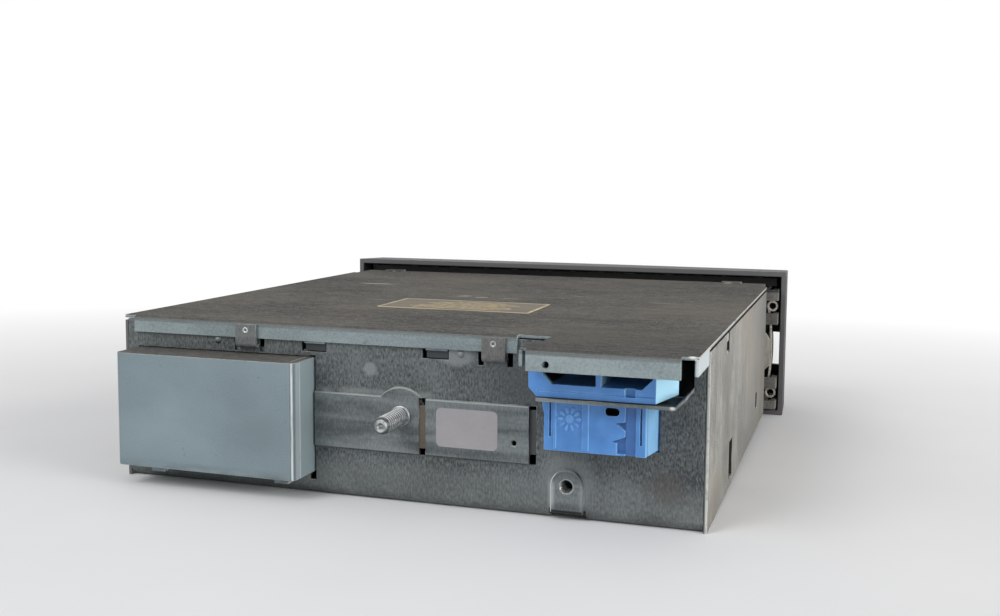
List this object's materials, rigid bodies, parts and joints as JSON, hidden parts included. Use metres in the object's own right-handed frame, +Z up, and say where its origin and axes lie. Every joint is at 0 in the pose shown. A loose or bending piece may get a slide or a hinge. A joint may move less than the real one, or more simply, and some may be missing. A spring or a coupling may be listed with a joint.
{
  "type": "car cd radio",
  "caption": "Single-height car CD radio: steel case with rear lid, amplifier box, locating stud and blue plug block, slot-loading disc drive inside, black front panel with knob and keys.",
  "frame": {"origin": "bottom centre of the whole part's box, on the front moulding's lower rim", "axes": "+X to the right seen from the front, +Y from the front panel to the rear wall, +Z up"},
  "size_m": [0.19, 0.241, 0.059],
  "materials": {
    "galvanised_sheet": "mottled zinc",
    "side_sheet": "dull zinc",
    "cover_sheet": "worn, dusty zinc",
    "amp_sheet": "satin",
    "bright_zinc": "bright",
    "drive_sheet": "satin",
    "motor_can": "satin",
    "label_foil": "matt",
    "sticker_paper": "matt",
    "blue_plastic": "satin",
    "contact": "bright",
    "board": "satin",
    "chip_black": "matt",
    "capacitor_sleeve": "gloss",
    "heat_sink": "extruded",
    "pale_plastic": "matt",
    "rubber": "matt",
    "drive_plastic": "matt",
    "lens": "clear",
    "panel_grey": "matt",
    "panel_black": "fine grain",
    "key_plastic": "satin",
    "display": "satin",
    "smoked_window": "gloss",
    "encoder": "matt",
    "spring_steel": "bright"
  },
  "bodies": {
    "case": {"bottom_pan": "galvanised_sheet", "front_plate": "galvanised_sheet", "left_side_wall": "side_sheet", "right_side_wall": "side_sheet", "top_cover": "cover_sheet", "amp_box": "amp_sheet", "locating_stud": "bright_zinc", "assembly_screws": "bright_zinc", "guide_rods": "bright_zinc", "deck_frame": "drive_sheet", "loading_motor": "motor_can", "spindle_motor": "motor_can", "sled_motor": "motor_can", "tuner_can": "motor_can", "top_label": "label_foil", "rear_sticker": "sticker_paper", "connector_block": "blue_plastic", "connector_pins": "contact", "main_board": "board", "panel_board": "board", "board_chips": "chip_black", "power_chip": "chip_black", "tact_switches": "chip_black", "capacitors": "capacitor_sleeve", "heat_sink": "heat_sink", "panel_connector": "pale_plastic", "deck_dampers": "rubber", "drive_belt": "rubber", "disc_guide": "drive_plastic", "panel_back": "panel_grey", "front_bezel": "panel_black", "display_module": "display", "display_window": "smoked_window", "encoder_body": "encoder"},
    "volume": {"encoder_shaft": "bright_zinc", "volume_knob": "key_plastic"},
    "rocker": {"seek_rocker": "key_plastic"},
    "flap": {"slot_flap": "rubber"},
    "roller": {"loading_roller": "rubber", "roller_shaft": "bright_zinc", "roller_pulley": "pale_plastic"},
    "loading_drive": {"motor_pulley": "pale_plastic"},
    "spindle": {"turntable": "drive_plastic", "spindle_shaft": "bright_zinc"},
    "slider": {"mode_slider": "pale_plastic"},
    "clamp": {"clamp_arm": "drive_sheet"},
    "puck": {"clamp_puck": "drive_plastic"},
    "sled": {"pickup_sled": "drive_plastic", "objective_lens": "lens"},
    "screw": {"lead_screw": "bright_zinc"},
    "left_latch": {"left_latch_spring": "spring_steel"},
    "right_latch": {"right_latch_spring": "spring_steel"},
    "preset_key_1": {"preset_button_1": "key_plastic"},
    "preset_key_2": {"preset_button_2": "key_plastic"},
    "preset_key_3": {"preset_button_3": "key_plastic"},
    "preset_key_4": {"preset_button_4": "key_plastic"},
    "preset_key_5": {"preset_button_5": "key_plastic"},
    "preset_key_6": {"preset_button_6": "key_plastic"},
    "eject_key": {"eject_button": "key_plastic"},
    "source_key": {"source_button": "key_plastic"}
  },
  "joints": [
    {"name": "volume_turn", "type": "hinge", "parent": "case", "child": "volume", "pos_m": [-0.071, -0.10652, 0.023], "axis": [0, 1, 0], "continuous": true},
    {"name": "seek_rock", "type": "hinge", "parent": "case", "child": "rocker", "pos_m": [0.07, -0.10095, 0.0265], "axis": [0, 0, 1], "range_deg": [-4, 4], "stiffness_Nm_per_rad": 0.1},
    {"name": "flap_swing", "type": "hinge", "parent": "case", "child": "flap", "pos_m": [0, -0.10294, 0.0452], "axis": [1, 0, 0], "range_deg": [0, 75], "stiffness_Nm_per_rad": 0.0015},
    {"name": "roller_turn", "type": "hinge", "parent": "case", "child": "roller", "pos_m": [0, -0.06152, 0.0366], "axis": [1, 0, 0], "continuous": true},
    {"name": "motor_turn", "type": "hinge", "parent": "case", "child": "loading_drive", "pos_m": [0.075, -0.03952, 0.0326], "axis": [1, 0, 0], "continuous": true},
    {"name": "turntable_spin", "type": "hinge", "parent": "case", "child": "spindle", "pos_m": [0, -0.00552, 0.0405], "axis": [0, 0, 1], "continuous": true},
    {"name": "mode_slide", "type": "slide", "parent": "case", "child": "slider", "axis": [0, 1, 0], "range_m": [0, 0.012]},
    {"name": "clamp_lift", "type": "hinge", "parent": "case", "child": "clamp", "pos_m": [0, 0.05848, 0.045], "axis": [1, 0, 0], "range_deg": [-4.1, 0]},
    {"name": "puck_spin", "type": "hinge", "parent": "clamp", "child": "puck", "pos_m": [0, -0.00552, 0.045], "axis": [0, 0, 1], "continuous": true},
    {"name": "sled_slide", "type": "slide", "parent": "case", "child": "sled", "axis": [1, 0, 0], "range_m": [0, 0.033]},
    {"name": "screw_turn", "type": "hinge", "parent": "case", "child": "screw", "pos_m": [0.04, 0.02448, 0.03175], "axis": [1, 0, 0], "range_deg": [0, 3961]},
    {"name": "left_latch_flex", "type": "slide", "parent": "case", "child": "left_latch", "axis": [1, 0, 0], "range_m": [0, 0.0018], "stiffness_N_per_m": 1500},
    {"name": "right_latch_flex", "type": "slide", "parent": "case", "child": "right_latch", "axis": [-1, 0, 0], "range_m": [0, 0.0018], "stiffness_N_per_m": 1500},
    {"name": "preset_key_1_press", "type": "slide", "parent": "case", "child": "preset_key_1", "axis": [0, 1, 0], "range_m": [0, 0.0008], "stiffness_N_per_m": 800},
    {"name": "preset_key_2_press", "type": "slide", "parent": "case", "child": "preset_key_2", "axis": [0, 1, 0], "range_m": [0, 0.0008], "stiffness_N_per_m": 800},
    {"name": "preset_key_3_press", "type": "slide", "parent": "case", "child": "preset_key_3", "axis": [0, 1, 0], "range_m": [0, 0.0008], "stiffness_N_per_m": 800},
    {"name": "preset_key_4_press", "type": "slide", "parent": "case", "child": "preset_key_4", "axis": [0, 1, 0], "range_m": [0, 0.0008], "stiffness_N_per_m": 800},
    {"name": "preset_key_5_press", "type": "slide", "parent": "case", "child": "preset_key_5", "axis": [0, 1, 0], "range_m": [0, 0.0008], "stiffness_N_per_m": 800},
    {"name": "preset_key_6_press", "type": "slide", "parent": "case", "child": "preset_key_6", "axis": [0, 1, 0], "range_m": [0, 0.0008], "stiffness_N_per_m": 800},
    {"name": "eject_key_press", "type": "slide", "parent": "case", "child": "eject_key", "axis": [0, 1, 0], "range_m": [0, 0.0008], "stiffness_N_per_m": 800},
    {"name": "source_key_press", "type": "slide", "parent": "case", "child": "source_key", "axis": [0, 1, 0], "range_m": [0, 0.0008], "stiffness_N_per_m": 800}
  ],
  "couplings": [
    {"joint": "motor_turn", "follows": "roller_turn", "ratio": 3.6},
    {"joint": "clamp_lift", "follows": "mode_slide", "rad_per_m": -5.818},
    {"joint": "screw_turn", "follows": "sled_slide", "rad_per_m": 2094.4}
  ]
}
